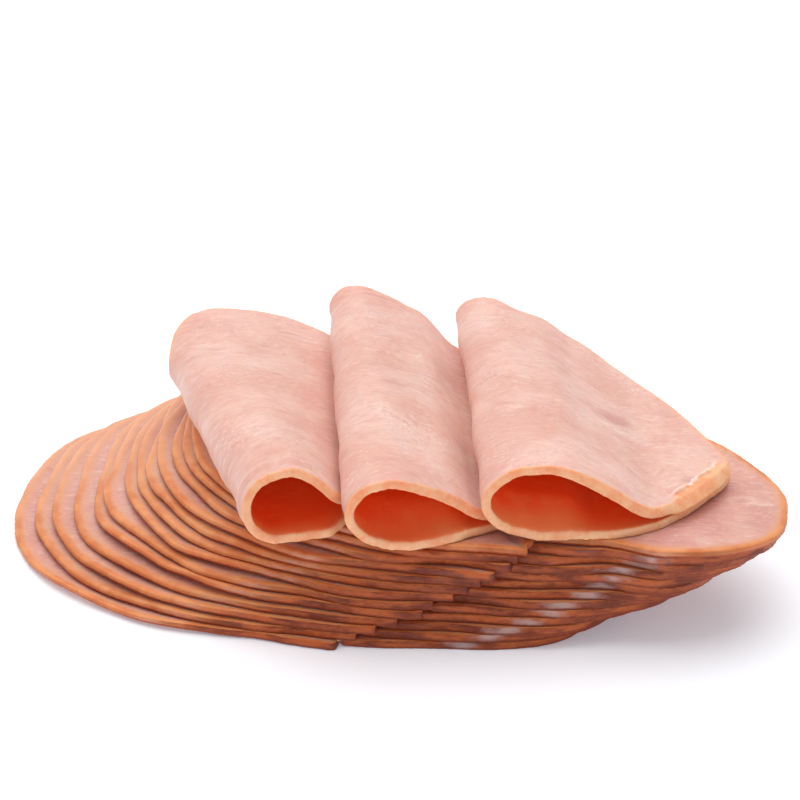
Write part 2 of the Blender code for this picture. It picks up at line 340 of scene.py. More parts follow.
def flat_slice_mesh(level, count):
    """Points, faces, rim distances, rounding and loaf places of one flat slice."""
    points, along, length = outline(count)
    seed = FLAT_SEED + level
    spacing = length / count
    base, normals, frontward, leftward = slice_edge(level, points, along, length)
    curl = leftward * (EDGE_CURL + ripple(along, length, seed + 50, CURL_WAVES))
    curl = curl + leftward * frontward * EDGE_CURLS.get(level, 0.0)
    on_top = level == len(SLIDES) - 1
    rounded = np.maximum(leftward, TOP_SLICE_ROUNDING) if on_top else leftward
    bottom_swell = 0.0 if level == 0 else RIM_SWELL
    top_swell = RIM_SWELL + WALL_SWELL * (1.0 - leftward)
    rings, rims, heights = [], [], []
    for crisp_inset, crisp_rise, round_inset, round_rise in EDGE_RINGS:
        inset = crisp_inset + (round_inset - crisp_inset) * rounded
        rise = crisp_rise + (round_rise - crisp_rise) * rounded
        smooth = round_average(base, int(crisp_inset * 0.8 / spacing))
        ring = smooth - outward(smooth) * inset[:, None]
        if crisp_inset < 0.1:
            grain = ripple(along, length, seed + int(crisp_rise * 100), CUT_WAVES)
            ring = ring + normals * grain[:, None]
        swell = np.clip(1.0 - inset / SWELL_REACH, 0.0, 1.0)
        low, high = -bottom_swell * swell, FLAT_THICKNESS + top_swell * swell
        lift = curl * np.clip(1.0 - inset / CURL_REACH, 0.0, 1.0) ** 2
        underside = crisp_inset < 1.0 and crisp_rise < UNDERSIDE_TOP
        rings.append(ring)
        # Underside rings get a negative rim distance, which marks them for the painted shade.
        rims.append(np.full(count, crisp_rise - UNDERSIDE_TOP) if underside else inset)
        heights.append(low + (high - low) * rise + lift)
    middle = np.array(SLICE_MIDDLE)
    low_rings = [rings[0] + (middle - rings[0]) * share for share in INNER_SHARES[::-1]]
    top_rings = [rings[-1] + (middle - rings[-1]) * share for share in INNER_SHARES]
    inner = np.full(count, DEEP_INSIDE)
    steps = len(INNER_SHARES)
    ring_count = len(EDGE_RINGS) + 2 * steps
    rings = [middle[None, :]] + low_rings + rings + top_rings + [middle[None, :]]
    rims = [inner[:1]] + [inner] * steps + rims + [inner] * steps + [inner[:1]]
    heights = ([np.zeros(1)] + [np.zeros(count)] * steps + heights
               + [np.full(count, FLAT_THICKNESS)] * steps + [np.full(1, FLAT_THICKNESS)])
    rounding = [np.zeros(1)] + [rounded] * ring_count + [np.zeros(1)]
    flat = np.vstack(rings)
    rim = np.concatenate(rims)
    height = np.concatenate(heights)
    own_x, y = flat[:, 0], flat[:, 1]
    x = own_x + SLIDES[level]
    hang = np.clip((x - DROOP_START_X) / DROOP_REACH, 0.0, None) ** 2
    swell = rolling(x, y, STACK_SEED, STACK_WAVES) * min(1.0, level / 4.0)
    z = level * FLAT_PITCH - DROOP_DEPTH * hang + height + swell
    z += rolling(x, y, seed, FACE_WAVES) * (height > FLAT_THICKNESS * 0.9)
    if level == 0:
        z = np.maximum(z, 0.0)
    faces = closed_ring_faces(count, ring_count)
    loaf = np.column_stack([own_x, y, np.full(len(rim), level * FLAT_PITCH)])
    return np.column_stack([x, y, z]), faces, rim, np.concatenate(rounding), loaf


# ---- folded slices ---------------------------------------------------------------------
def closing_curve(value):
    """A ramp that eases into zero instead of stopping dead."""
    return 0.5 * (value + np.sqrt(value * value + CLOSING_SOFTNESS ** 2))


def fold_lift(fold, distance, along):
    """How far the sheet is held up by the flaps of the folded slice beside it."""
    lengthwise = smooth_step((along - fold["lift_front"]) / LIFT_FRONT_EASE)
    sideways = smooth_step((fold["lift_side"] + LIFT_SIDE_EASE - distance) / LIFT_SIDE_EASE)
    return fold["lift"] * lengthwise * sideways


def fold_height(fold, station, along):
    """Middle height of the folded sheet above the top of the stack."""
    share = np.clip(along / fold["back_length"], 0.0, 1.0)
    outside = fold["height_front"] + (fold["height_back"] - fold["height_front"]) * share
    distance = np.abs(station)
    foot = FOLD_THICKNESS / 2.0 + fold_lift(fold, distance, along)
    top = outside - FOLD_THICKNESS / 2.0
    middle = (FOLD_THICKNESS / 2.0 + fold_lift(fold, np.zeros_like(distance), along) + top) / 2.0
    heel_turn = np.sqrt(1.0 - (1.0 - np.clip(distance / fold["heel_radius"], 0.0, 1.0)) ** 2)
    lower = middle - (middle - foot) * heel_turn
    loop = fold["loop_front"] + (fold["loop_back"] - fold["loop_front"]) * share
    loop_turn = np.sqrt(1.0 - (1.0 - np.clip(distance / loop, 0.0, 1.0)) ** 2)
    rising = middle + (top - middle) * loop_turn
    closed = foot + FOLD_THICKNESS + FLAP_GAP
    meet = fold["close_front"] + (fold["close_back"] - fold["close_front"]) * share
    run = np.clip((distance - loop) / (meet - loop), 0.0, None)
    run = run * run / (run + FALL_EASE) * (1.0 + FALL_EASE)
    power = fold["power_front"] + (fold["power_back"] - fold["power_front"]) * share
    fall = closing_curve(1.0 - run ** power) / closing_curve(1.0)
    falling = closed + (top - closed) * fall
    upper = np.where(distance < loop, rising, falling)
    return np.where(station < 0.0, lower, upper)


def fold_ends(fold, distance):
    """Where the front and back edges lie along the fold line."""
    beyond = np.clip(distance - fold["front_start"], 0.0, None)
    beyond = beyond / (fold["reach"] - fold["front_start"])
    front = fold["front_retreat"] * beyond ** fold["front_power"]
    corner = np.clip(1.0 - distance / fold["back_corner_width"], 0.0, None) ** 2
    back = fold["back_length"] + fold["back_slope"] * distance - fold["back_corner"] * corner
    back = back - fold["back_retreat"] * (distance / fold["reach"]) ** fold["back_power"]
    return front, back


# How a cut edge rounds over: distance in from the edge and share of the full thickness.
CUT_EDGE = ((-0.12, 0.0), (-0.10, 0.30), (-0.03, 0.62), (0.10, 0.85), (0.32, 0.97), (0.7, 1.0))
CUT_EDGE_WIDTH = 1.2
FRONT_WAVES = ((30.0, 0.35), (7.0, 0.16), (2.2, 0.10))
BACK_WAVES = ((34.0, 0.4), (8.0, 0.16), (2.4, 0.08))
SHEET_WAVES = ((34.0, 0.36), (14.0, 0.13))
GRAIN_WAVES = ((5.0, 0.03), (2.2, 0.018))
TATTER_WAVES = ((4.5, 0.7), (2.0, 0.45))
# Half the step over which the sheet's slope is measured, and how near the fold line the
# sheet counts as standing upright.
PROBE = 0.02
AT_FOLD = 0.03
# The raised crease behind the lip, and the dip before it: place and width.
CREASE_PLACE, CREASE_WIDTH = 5.2, 1.3
DIP_PLACE, DIP_WIDTH = 3.0, 1.1
TEAR_WIDTH = 0.6


def outward_of_sheet(fold, station, along):
    """Which way the outer face of the folded sheet points: across the fold, and up."""
    signs = np.where(station < 0.0, -1.0, 1.0)
    off_fold = np.abs(station) > PROBE
    probe = PROBE * signs
    rise = fold_height(fold, station + probe, along) - fold_height(
        fold, np.where(off_fold, station - probe, station), along)
    run = np.where(off_fold, 2.0 * PROBE, PROBE)
    bend = np.hypot(run, rise)
    at_fold = np.abs(station) < AT_FOLD
    out_across = np.where(at_fold, -1.0, -signs * rise / bend)
    out_up = np.where(at_fold, 0.0, run / bend * signs)
    return out_across, out_up


def lip_relief(fold, station, along, front_gap, loose):
    """Crease behind the lip, and the ragged ridge where the corner is torn."""
    crease = np.exp(-((front_gap - CREASE_PLACE) / CREASE_WIDTH) ** 2)
    dip = np.exp(-((front_gap - DIP_PLACE) / DIP_WIDTH) ** 2)
    relief = loose * fold["crease"] * crease - loose * 0.5 * fold["crease"] * dip
    torn = smooth_step((station - fold["torn_from"]) / 3.0)
    ridge = fold["torn_height"] * torn * np.exp(-((front_gap - TORN_WIDTH) / TEAR_WIDTH) ** 2)
    tatter = rolling(station, along, fold["seed"] + 4, TATTER_WAVES)
    return relief + ridge * np.clip(0.35 + tatter, 0.0, 1.4)


def sheet_faces(station_count, row_count):
    """Faces of the outer and inner side of a sheet that share their border points."""
    count = station_count * row_count
    grid = np.arange(count).reshape(station_count, row_count)
    under = grid + count
    under[0, :], under[-1, :] = grid[0, :], grid[-1, :]
    under[:, 0], under[:, -1] = grid[:, 0], grid[:, -1]
    outer = np.stack([grid[:-1, :-1], grid[1:, :-1], grid[1:, 1:], grid[:-1, 1:]], axis=-1)
    inner = np.stack([under[:-1, :-1], under[:-1, 1:], under[1:, 1:], under[1:, :-1]], axis=-1)
    return np.vstack([outer.reshape(-1, 4), inner.reshape(-1, 4)])


def folded_slice_mesh(fold, station_count, row_count):
    """Points, faces, rim distances, inner-side marks and sheet places of a folded slice."""
    reach, seed = fold["reach"], fold["seed"]
    near_fold = np.linspace(-1.0, 1.0, station_count)
    inner_stations = np.sign(near_fold) * np.abs(near_fold) ** 1.25 * (reach - CUT_EDGE_WIDTH)
    ends = np.array([offset for offset, _ in CUT_EDGE])
    shares = np.array([share for _, share in CUT_EDGE])
    stations = np.concatenate([-(reach - ends), inner_stations, (reach - ends)[::-1]])
    station_full = np.concatenate([shares, np.ones(station_count), shares[::-1]])
    distance = np.abs(stations)
    front, back = fold_ends(fold, np.minimum(distance, reach))
    edge_run = stations + reach
    front = front + ripple(edge_run, 2.0 * reach, seed, FRONT_WAVES)
    back = back + ripple(edge_run, 2.0 * reach, seed + 1, BACK_WAVES)
    lean = np.hypot(1.0, np.gradient(front, stations))
    back_lean = np.hypot(1.0, np.gradient(back, stations))
    even_rows = np.linspace(0.0, 1.0, row_count)
    inner_rows = (1.0 - np.cos(math.pi * even_rows)) / 4.0 + even_rows / 2.0
    first, last = front + CUT_EDGE_WIDTH, back - CUT_EDGE_WIDTH
    body = first[:, None] + (last - first)[:, None] * inner_rows[None, :]
    along = np.hstack([front[:, None] + ends[None, :], body, back[:, None] - ends[None, ::-1]])
    row_full = np.concatenate([shares, np.ones(row_count), shares[::-1]])
    full = np.minimum(station_full[:, None], row_full[None, :])
    station = np.broadcast_to(stations[:, None], along.shape)
    span = np.abs(station)
    height = fold_height(fold, station, along)
    out_across, out_up = outward_of_sheet(fold, station, along)
    front_gap = (along - front[:, None]) / lean[:, None]
    back_gap = (back[:, None] - along) / back_lean[:, None]
    rim = np.clip(np.minimum(np.minimum(front_gap, back_gap), reach - span), 0.0, None)
    loose = smooth_step((fold["close_front"] - 2.0 - station) / 8.0)
    loose = loose * np.where(station < 0.0, smooth_step((8.0 + station) / 8.0), 1.0)
    swell = loose * rolling(station, along, seed + 2, SHEET_WAVES)
    lip = lip_relief(fold, station, along, front_gap, loose)
    slant = fold["slant"] * smooth_step((stations - fold["loop_front"]) / 12.0)
    slant = slant + fold["torn_slant"] * smooth_step((stations - fold["torn_from"]) / 3.0)
    bevel = slant[:, None] * full * np.exp(-np.clip(front_gap, 0.0, None) / 3.0)
    start = np.array(fold["spine_front"])
    axis = np.array(fold["spine_back"]) - start
    axis = axis / np.hypot(*axis)
    cross = np.array([axis[1], -axis[0]])
    half = FOLD_THICKNESS / 2.0 * full
    grain = rolling(station, along, seed + 3, GRAIN_WAVES) * (full > 0.95)
    layers = []
    for side in (1.0, -1.0):
        push = swell + (lip if side > 0.0 else 0.0) + side * half + side * grain
        place = span + out_across * push
        length = along + side * bevel
        x = start[0] + place * cross[0] + length * axis[0]
        y = start[1] + place * cross[1] + length * axis[1]
        z = height + out_up * push + FOLD_FOOT
        layers.append(np.column_stack([x.ravel(), y.ravel(), z.ravel()]))
    count = along.size
    used, renumbered = np.unique(sheet_faces(*along.shape), return_inverse=True)
    points = np.vstack(layers)[used]
    both = np.concatenate([rim.ravel(), rim.ravel()])[used]
    inside = np.concatenate([np.zeros(count), np.ones(count)])[used]
    sheet = np.column_stack([station.ravel(), along.ravel(),
                             np.full(count, seed * SHEET_SPACING)])
    sheet = np.vstack([sheet, sheet])[used]
    return points, renumbered.reshape(-1, 4).tolist(), both, inside, sheet


# ---- making pieces ---------------------------------------------------------------------
def make_piece(name, points, faces, rim, side, sheet, material, slot, node):
    """A smooth mesh in metres that stands for one CAD body."""
    mesh = bpy.data.meshes.new(name)
    mesh.from_pydata(((points + layout_shift()) * MM).tolist(), [], faces)
    for label, values in (("rim_mm", rim), ("side_share", side)):
        layer = mesh.attributes.new(label, "FLOAT", "POINT")
        layer.data.foreach_set("value", values.astype(np.float32))
    place = mesh.attributes.new("sheet_mm", "FLOAT_VECTOR", "POINT")
    place.data.foreach_set("vector", sheet.astype(np.float32).ravel())
    mesh.polygons.foreach_set("use_smooth", np.ones(len(mesh.polygons), dtype=bool))
    mesh.materials.append(material)
    mesh.update()
    piece = bpy.data.objects.new(name, mesh)
    bpy.context.scene.collection.objects.link(piece)
    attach(piece, ROOT)
    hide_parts(node)
    return piece


def add_node(tree, kind, settings=None, links=None, **attributes):
    """Add a shader node, set its sockets and properties, and link sockets into it."""
    node = tree.nodes.new(kind)
    for key, value in attributes.items():
        setattr(node, key, value)
    for key, value in (settings or {}).items():
        node.inputs[key].default_value = value
    for key, source in (links or {}).items():
        tree.links.new(source, node.inputs[key])
    return node


def blended(tree, amount, first, second):
    """Blend of two colours, each a hex code or a socket, by an amount socket."""
    node = tree.nodes.new("ShaderNodeMix")
    node.data_type = "RGBA"
    node.clamp_factor = True
    for index, value in ((0, amount), (6, first), (7, second)):
        if isinstance(value, bpy.types.NodeSocket):
            tree.links.new(value, node.inputs[index])
        else:
            node.inputs[index].default_value = linear(value)
    return node.outputs[2]


def ranged(tree, value, low, high, to_low=0.0, to_high=1.0, smooth=True):
    """Map a value between two limits."""
    node = add_node(tree, "ShaderNodeMapRange",
                    {"From Min": low, "From Max": high, "To Min": to_low, "To Max": to_high},
                    {"Value": value})
    node.interpolation_type = "SMOOTHSTEP" if smooth else "LINEAR"
    return node.outputs["Result"]


def figured(tree, operation, first, second):
    """One sum of two numbers or sockets."""
    node = tree.nodes.new("ShaderNodeMath")
    node.operation = operation
    for index, value in ((0, first), (1, second)):
        if isinstance(value, bpy.types.NodeSocket):
            tree.links.new(value, node.inputs[index])
        else:
            node.inputs[index].default_value = value
    return node.outputs[0]


def swayed(tree, value, marks, amount):
    """A value moved by a share of a pattern, so that what it bounds wanders."""
    return figured(tree, "ADD", value, figured(tree, "MULTIPLY", marks, amount))


def off_place(tree, value, middle):
    """How far a value is from a fixed one."""
    return figured(tree, "ABSOLUTE", figured(tree, "SUBTRACT", value, middle), 0.0)


def pattern(tree, vector, wavelength, detail=3.0, stretch=(1.0, 1.0, 1.0), turn=0.0, rough=0.55):
    """Noise whose marks are about one wavelength across, in millimetres."""
    scaled = add_node(tree, "ShaderNodeMapping",
                      {"Scale": tuple(s / wavelength for s in stretch),
                       "Rotation": (0.0, 0.0, turn)}, {"Vector": vector})
    made = add_node(tree, "ShaderNodeTexNoise",
                    {"Scale": 1.0, "Detail": detail, "Roughness": rough},
                    {"Vector": scaled.outputs["Vector"]})
    return made.outputs["Fac"]


def warped(tree, vector, wavelength, strength):
    """Bend a place by a slow noise, so that straight marks turn into arcs."""
    slow = add_node(tree, "ShaderNodeTexNoise", {"Scale": 1.0 / wavelength, "Detail": 1.0},
                    {"Vector": vector})
    centred = add_node(tree, "ShaderNodeVectorMath", {1: (0.5, 0.5, 0.5)},
                       {0: slow.outputs["Color"]}, operation="SUBTRACT")
    scaled = add_node(tree, "ShaderNodeVectorMath", {"Scale": strength},
                      {0: centred.outputs["Vector"]}, operation="SCALE")
    moved = add_node(tree, "ShaderNodeVectorMath", {},
                     {0: vector, 1: scaled.outputs["Vector"]}, operation="ADD")
    return moved.outputs["Vector"]


def distance_from(tree, vector, place):
    """How far a vector socket is from a fixed place."""
    return add_node(tree, "ShaderNodeVectorMath", {1: place}, {0: vector},
                    operation="DISTANCE").outputs["Value"]


def axis_of(tree, vector, axis):
    """One part of a vector socket."""
    return add_node(tree, "ShaderNodeSeparateXYZ", links={"Vector": vector}).outputs[axis]


def meat_places(material):
    """The places and distances that every meat pattern starts from."""
    material.use_nodes = True
    tree = material.node_tree
    tree.nodes.clear()
    sheet = add_node(tree, "ShaderNodeAttribute", attribute_name="sheet_mm").outputs["Vector"]
    rim = add_node(tree, "ShaderNodeAttribute", attribute_name="rim_mm").outputs["Fac"]
    side = add_node(tree, "ShaderNodeAttribute", attribute_name="side_share").outputs["Fac"]
    spot = add_node(tree, "ShaderNodeTexCoord").outputs["Object"]
    place = add_node(tree, "ShaderNodeMapping", {"Scale": (1.0 / MM, 1.0 / MM, 1.0 / MM)},
                     {"Vector": spot}).outputs["Vector"]
    return tree, sheet, rim, side, place


def muscle(tree, sheet, colours):
    """The cut face of cooked muscle: soft patches, fine pale fibres and small darker flecks."""
    # Patches 10 to 20 mm across where the muscle changes direction.
    patches = pattern(tree, sheet, 15.0, 3.0)
    mottle = pattern(tree, sheet, 4.5, 4.0, (0.6, 1.0, 1.0), 0.2)
    # Fibres about 0.5 mm wide, drawn a little coarser than real ones.
    bent = warped(tree, sheet, 24.0, 16.0)
    fibres = pattern(tree, bent, 1.5, 3.0, (0.20, 1.0, 1.0), 0.15, 0.6)
    fleck = pattern(tree, bent, 3.4, 3.0, (0.32, 1.0, 1.0), -0.2, 0.5)
    face = blended(tree, ranged(tree, patches, 0.36, 0.66), colours.meat_pale, colours.meat_pink)
    face = blended(tree, ranged(tree, mottle, 0.44, 0.72, 0.0, 0.5), face, colours.meat_pink)
    share = figured(tree, "MULTIPLY", ranged(tree, fibres, 0.54, 0.72),
                    ranged(tree, patches, 0.62, 0.38, 0.12, 0.58))
    face = blended(tree, share, face, colours.fibre)
    face = blended(tree, ranged(tree, fleck, 0.56, 0.78, 0.0, 0.5), face, colours.meat_deep)
    # Torn fibre ends, about 0.4 mm, make a fine light and dark grain.
    grain = pattern(tree, bent, 0.9, 4.0, (0.40, 1.0, 1.0), 0.1, 0.65)
    face = blended(tree, ranged(tree, grain, 0.52, 0.70, 0.0, 0.42), face, colours.fibre)
    face = blended(tree, ranged(tree, grain, 0.48, 0.30, 0.0, 0.40), face, colours.meat_deep)
    return face, fibres, patches


def meat_shader(tree, colours, colour, relief, patches, softness, painted_glow_strength=None):
    """Moist meat: light soaks in, red farthest, a thin wet film shines softly, and an optional
    emission adds a painted glow.
    """
    bump = add_node(tree, "ShaderNodeBump", {"Strength": 0.30, "Distance": 0.00022},
                    {"Height": relief})
    gloss = ranged(tree, patches, 0.3, 0.7, 0.38, 0.54, False)
    links = {"Base Color": colour, "Roughness": gloss, "Normal": bump.outputs["Normal"]}
    # The optional emission strength is a painted glow.
    if painted_glow_strength is not None:
        links["Emission Strength"] = painted_glow_strength
    shader = add_node(tree, "ShaderNodeBsdfPrincipled", {
        "IOR": 1.40,
        "Subsurface Weight": softness,
        "Subsurface Radius": (1.0, 0.28, 0.12),
        "Subsurface Scale": 0.0030,
        "Coat Weight": 0.06,
        "Coat Roughness": 0.28,
        "Emission Color": linear(colours.painted_glow_colour),
        "Emission Strength": 0.0,
    }, links)
    add_node(tree, "ShaderNodeOutputMaterial", links={"Surface": shader.outputs["BSDF"]})


def folded_meat(colours):
    """Thin folded slice: pale moist muscle, a peach cut edge, and a painted red-orange glow
    inside.
    """
    material = bpy.data.materials.new("folded_slice_of_moist_cured_breast")
    tree, sheet, rim, inner, place = meat_places(material)
    face, fibres, patches = muscle(tree, sheet, colours)
    # Painted sheen: small whitish specks, in patches, lie on the upper side.
    painted_sheen = figured(tree, "MULTIPLY", ranged(tree, pattern(tree, sheet, 0.7, 3.0), 0.46, 0.70),
                    ranged(tree, pattern(tree, sheet, 17.0, 2.0), 0.50, 0.66, 0.0, 0.40))
    face = blended(tree, painted_sheen, face, colours.painted_sheen)
    apart = distance_from(tree, sheet, BLOOD_SPOT)
    smudge = swayed(tree, apart, pattern(tree, sheet, 6.0, 2.0), -6.0)
    face = blended(tree, ranged(tree, smudge, 2.5, -1.5, 0.0, 0.75), face, colours.meat_deep)
    # Painted glow: the inner side is coloured red-orange, redder away from the opening and lighter
    # on the lower flap, standing in for light that has passed through the meat.
    deep = blended(tree, ranged(tree, rim, 0.3, 7.0), colours.painted_glow_lip, colours.painted_glow_deep)
    deep = blended(tree, ranged(tree, pattern(tree, sheet, 5.0, 5.0, rough=0.65), 0.46, 0.72,
                                0.0, 0.45), deep, colours.painted_glow_lip)
    across = axis_of(tree, sheet, "X")
    lower_flap_glow = ranged(tree, swayed(tree, across, pattern(tree, sheet, 8.0, 3.0), 8.0),
                   4.0, -12.0, 0.0, 0.35)
    deep = blended(tree, lower_flap_glow, deep, colours.painted_glow_floor)
    colour = blended(tree, inner, face, deep)
    # The cut edge shows the peach under-skin, its border crisp and slightly granular.
    grain = pattern(tree, place, 0.8, 2.0)
    border = swayed(tree, rim, grain, -0.5)
    rind = blended(tree, ranged(tree, pattern(tree, place, 5.0, 3.0), 0.36, 0.66),
                   colours.rind_light, colours.rind_dark)
    rind = blended(tree, ranged(tree, pattern(tree, place, 0.55, 2.0), 0.52, 0.72, 0.0, 0.35),
                   rind, colours.fibre)
    blush = ranged(tree, rim, 1.6, 0.1, 0.0, 0.45)
    colour = blended(tree, blush, colour, rind)
    # At the torn corner the meat has come away and left a strip of under-skin with pale crumbs.
    near_tear = ranged(tree, distance_from(tree, sheet, TORN_PLACE), 13.0, 9.0)
    strip = swayed(tree, rim, pattern(tree, sheet, 2.2, 3.0), 3.0)
    crumbs = figured(tree, "MULTIPLY", ranged(tree, strip, TORN_WIDTH + 2.6, TORN_WIDTH + 1.8),
                     near_tear)
    bare = figured(tree, "MULTIPLY", ranged(tree, strip, TORN_WIDTH + 1.4, TORN_WIDTH + 0.6),
                   near_tear)
    upper = figured(tree, "SUBTRACT", 1.0, inner)
    colour = blended(tree, figured(tree, "MULTIPLY", crumbs, upper), colour, colours.fibre)
    colour = blended(tree, figured(tree, "MULTIPLY", bare, upper), colour, rind)
    colour = blended(tree, ranged(tree, border, 0.32, 0.02), colour, rind)
    relief = swayed(tree, fibres, pattern(tree, place, 0.7, 3.0), 0.5)
    # Painted glow: the inner side emits faintly, more so away from the cut edge.
    painted_glow_strength = figured(tree, "MULTIPLY", ranged(tree, rim, 0.2, 5.0, 0.0, colours.painted_glow_strength), inner)
    meat_shader(tree, colours, colour, relief, patches, colours.softness, painted_glow_strength)
    return material


def stacked_meat(colours):
    """Slice in the pile: pink muscle inside a tan under-skin and a darker smoked skin."""
    material = bpy.data.materials.new("stacked_slice_of_smoked_breast")
    tree, loaf, rim, left, place = meat_places(material)
    face, fibres, patches = muscle(tree, loaf, colours)
    # The tan under-skin is about 1.5 mm wide, and half as wide again at the rounded edges.
    wander = pattern(tree, loaf, 3.0, 3.0)
    width = ranged(tree, left, 0.0, 1.0, 1.0, 0.62, False)
    border = figured(tree, "MULTIPLY", rim, width)
    border = swayed(tree, border, wander, -1.1)
    blush = blended(tree, ranged(tree, border, 2.4, 0.3, 0.0, 0.8), face, colours.blush)
    tan = blended(tree, ranged(tree, pattern(tree, loaf, 9.0, 4.0), 0.36, 0.66),
                  colours.rind_light, colours.rind_dark)
    # Painted highlight: the under-skin pales towards the back of the loaf, where the light from
    # behind falls on the rims.
    depth = axis_of(tree, loaf, "Y")
    tan = blended(tree, ranged(tree, depth, 8.0, 45.0, 0.0, 0.7), tan, colours.painted_rind_highlight)
    colour = blended(tree, ranged(tree, border, 0.95, 0.0), blush, tan)
    # Smoke has browned the skin itself unevenly, in streaks along the loaf.
    streak = pattern(tree, place, 5.0, 5.0, (0.45, 0.45, 1.6), 0.0, 0.62)
    skin = blended(tree, ranged(tree, streak, 0.38, 0.64), colours.skin_light, colours.skin_dark)
    fine = pattern(tree, place, 1.1, 3.0, (0.6, 0.6, 1.3))
    skin = blended(tree, ranged(tree, fine, 0.52, 0.74, 0.0, 0.45), skin, colours.skin_dark)
    # Set fat shows grey-white in the same two places on slice after slice.
    own_x = axis_of(tree, loaf, "X")
    ragged = pattern(tree, place, 5.0, 4.0, (0.8, 0.8, 1.8), 0.0, 0.62)
    for middle, half_width in FAT_PLACES:
        reach = swayed(tree, off_place(tree, own_x, middle), ragged, 3.0 * half_width)
        fat = ranged(tree, reach, 2.6 * half_width, 1.3 * half_width, 0.0, 0.75)
        skin = blended(tree, fat, skin, colours.fat_grey)
    bruise = pattern(tree, place, 9.0, 4.0, (0.6, 0.6, 1.5))
    skin = blended(tree, ranged(tree, bruise, 0.60, 0.72, 0.0, 0.6), skin, colours.bruise)
    # Painted shade: the skin in the notch is darkened in place of its shadow.
    in_notch = off_place(tree, own_x, NOTCH_X + 0.7)
    skin = blended(tree, ranged(tree, in_notch, 1.9, 0.5, 0.0, 0.85), skin, colours.notch)
    skin_share = figured(tree, "MULTIPLY", ranged(tree, rim, 0.30, 0.03),
                         ranged(tree, left, 0.25, 0.95, 1.0, 0.30))
    colour = blended(tree, skin_share, colour, skin)
    # Painted shade: the underside of each edge is coloured dark red-brown where it lies over the
    # next slice, standing in for the shade in the gap.
    painted_crevice_shade = blended(tree, left, colours.painted_wall_crevice_shade, colours.crevice)
    colour = blended(tree, ranged(tree, rim, -0.25, -0.60, 0.0, 0.9), colour, painted_crevice_shade)
    relief = swayed(tree, fibres, pattern(tree, place, 0.8, 3.0, (1.0, 1.0, 1.5)), 0.9)
    meat_shader(tree, colours, colour, relief, patches, colours.softness)
    return material


def sweep_material(sizes):
    """Matt white studio paper, so it takes soft shadows and no shine."""
    material = bpy.data.materials.new("matt_white_paper_sweep")
    material.use_nodes = True
    tree = material.node_tree
    shader = tree.nodes["Principled BSDF"]
    spot = add_node(tree, "ShaderNodeTexCoord").outputs["Object"]
    grain = add_node(tree, "ShaderNodeTexNoise", {"Scale": 900.0, "Detail": 2.0}, {"Vector": spot})
    bump = add_node(tree, "ShaderNodeBump", {"Strength": 0.02, "Distance": 0.0002},
                    {"Height": grain.outputs["Fac"]})
    tree.links.new(bump.outputs["Normal"], shader.inputs["Normal"])
    shader.inputs["Base Color"].default_value = linear(sizes.floor_colour)
    shader.inputs["Roughness"].default_value = 0.9
    # A little cool light fills the shadows, as from a lit table.
    shader.inputs["Emission Color"].default_value = linear(sizes.fill_colour)
    shader.inputs["Emission Strength"].default_value = sizes.fill_strength
    return material


# ---- settings --------------------------------------------------------------------------
class FoldedColours(bpy.types.PropertyGroup):
    """Colours and softness of the folded slices."""
    meat_pale: StringProperty(
        name="Pale meat", description="Colour of the paler muscle", default="#EBC0B2")
    meat_pink: StringProperty(
        name="Pink meat", description="Colour of the pinker muscle", default="#E3AE9F")
    meat_deep: StringProperty(
        name="Deep meat", description="Colour of the darker flecks", default="#CF8F86")
    fibre: StringProperty(
        name="Fibre", description="Colour of the pale fibres", default="#F5D9CC")
    # Painted sheen: colour of the whitish specks on the upper side.
    painted_sheen: StringProperty(
        name="Bloom", description="Colour of the dry whitish specks", default="#F7E6DF")
    rind_light: StringProperty(
        name="Light edge", description="Colour of the lighter cut edge", default="#FFC093")
    rind_dark: StringProperty(
        name="Dark edge", description="Colour of the darker cut edge", default="#F8A474")
    # Painted glow: inner colour by the opening of the fold.
    painted_glow_lip: StringProperty(
        name="Glow at the lip", description="Inside colour by the opening", default="#F08A52")
    # Painted glow: inner colour deep in the fold.
    painted_glow_deep: StringProperty(
        name="Glow inside", description="Colour deep in the folds", default="#E8501C")
    # Painted glow: lighter inner colour on the lower flap.
    painted_glow_floor: StringProperty(
        name="Glow on the lower flap", description="Inside colour of the flap that lies below",
        default="#F08450")
    # Emission colour of the painted glow.
    painted_glow_colour: StringProperty(
        name="Light through", description="Colour of light that has passed through",
        default="#FF6420")
    # Strength of the painted glow on the inner side.
    painted_glow_strength: FloatProperty(
        name="Glow strength", description="How much light comes through the slice",
        default=0.06, min=0.0, max=1.0)
    softness: FloatProperty(
        name="Softness", description="How much light soaks into the meat",
        default=0.60, min=0.0, max=1.0, subtype="FACTOR")


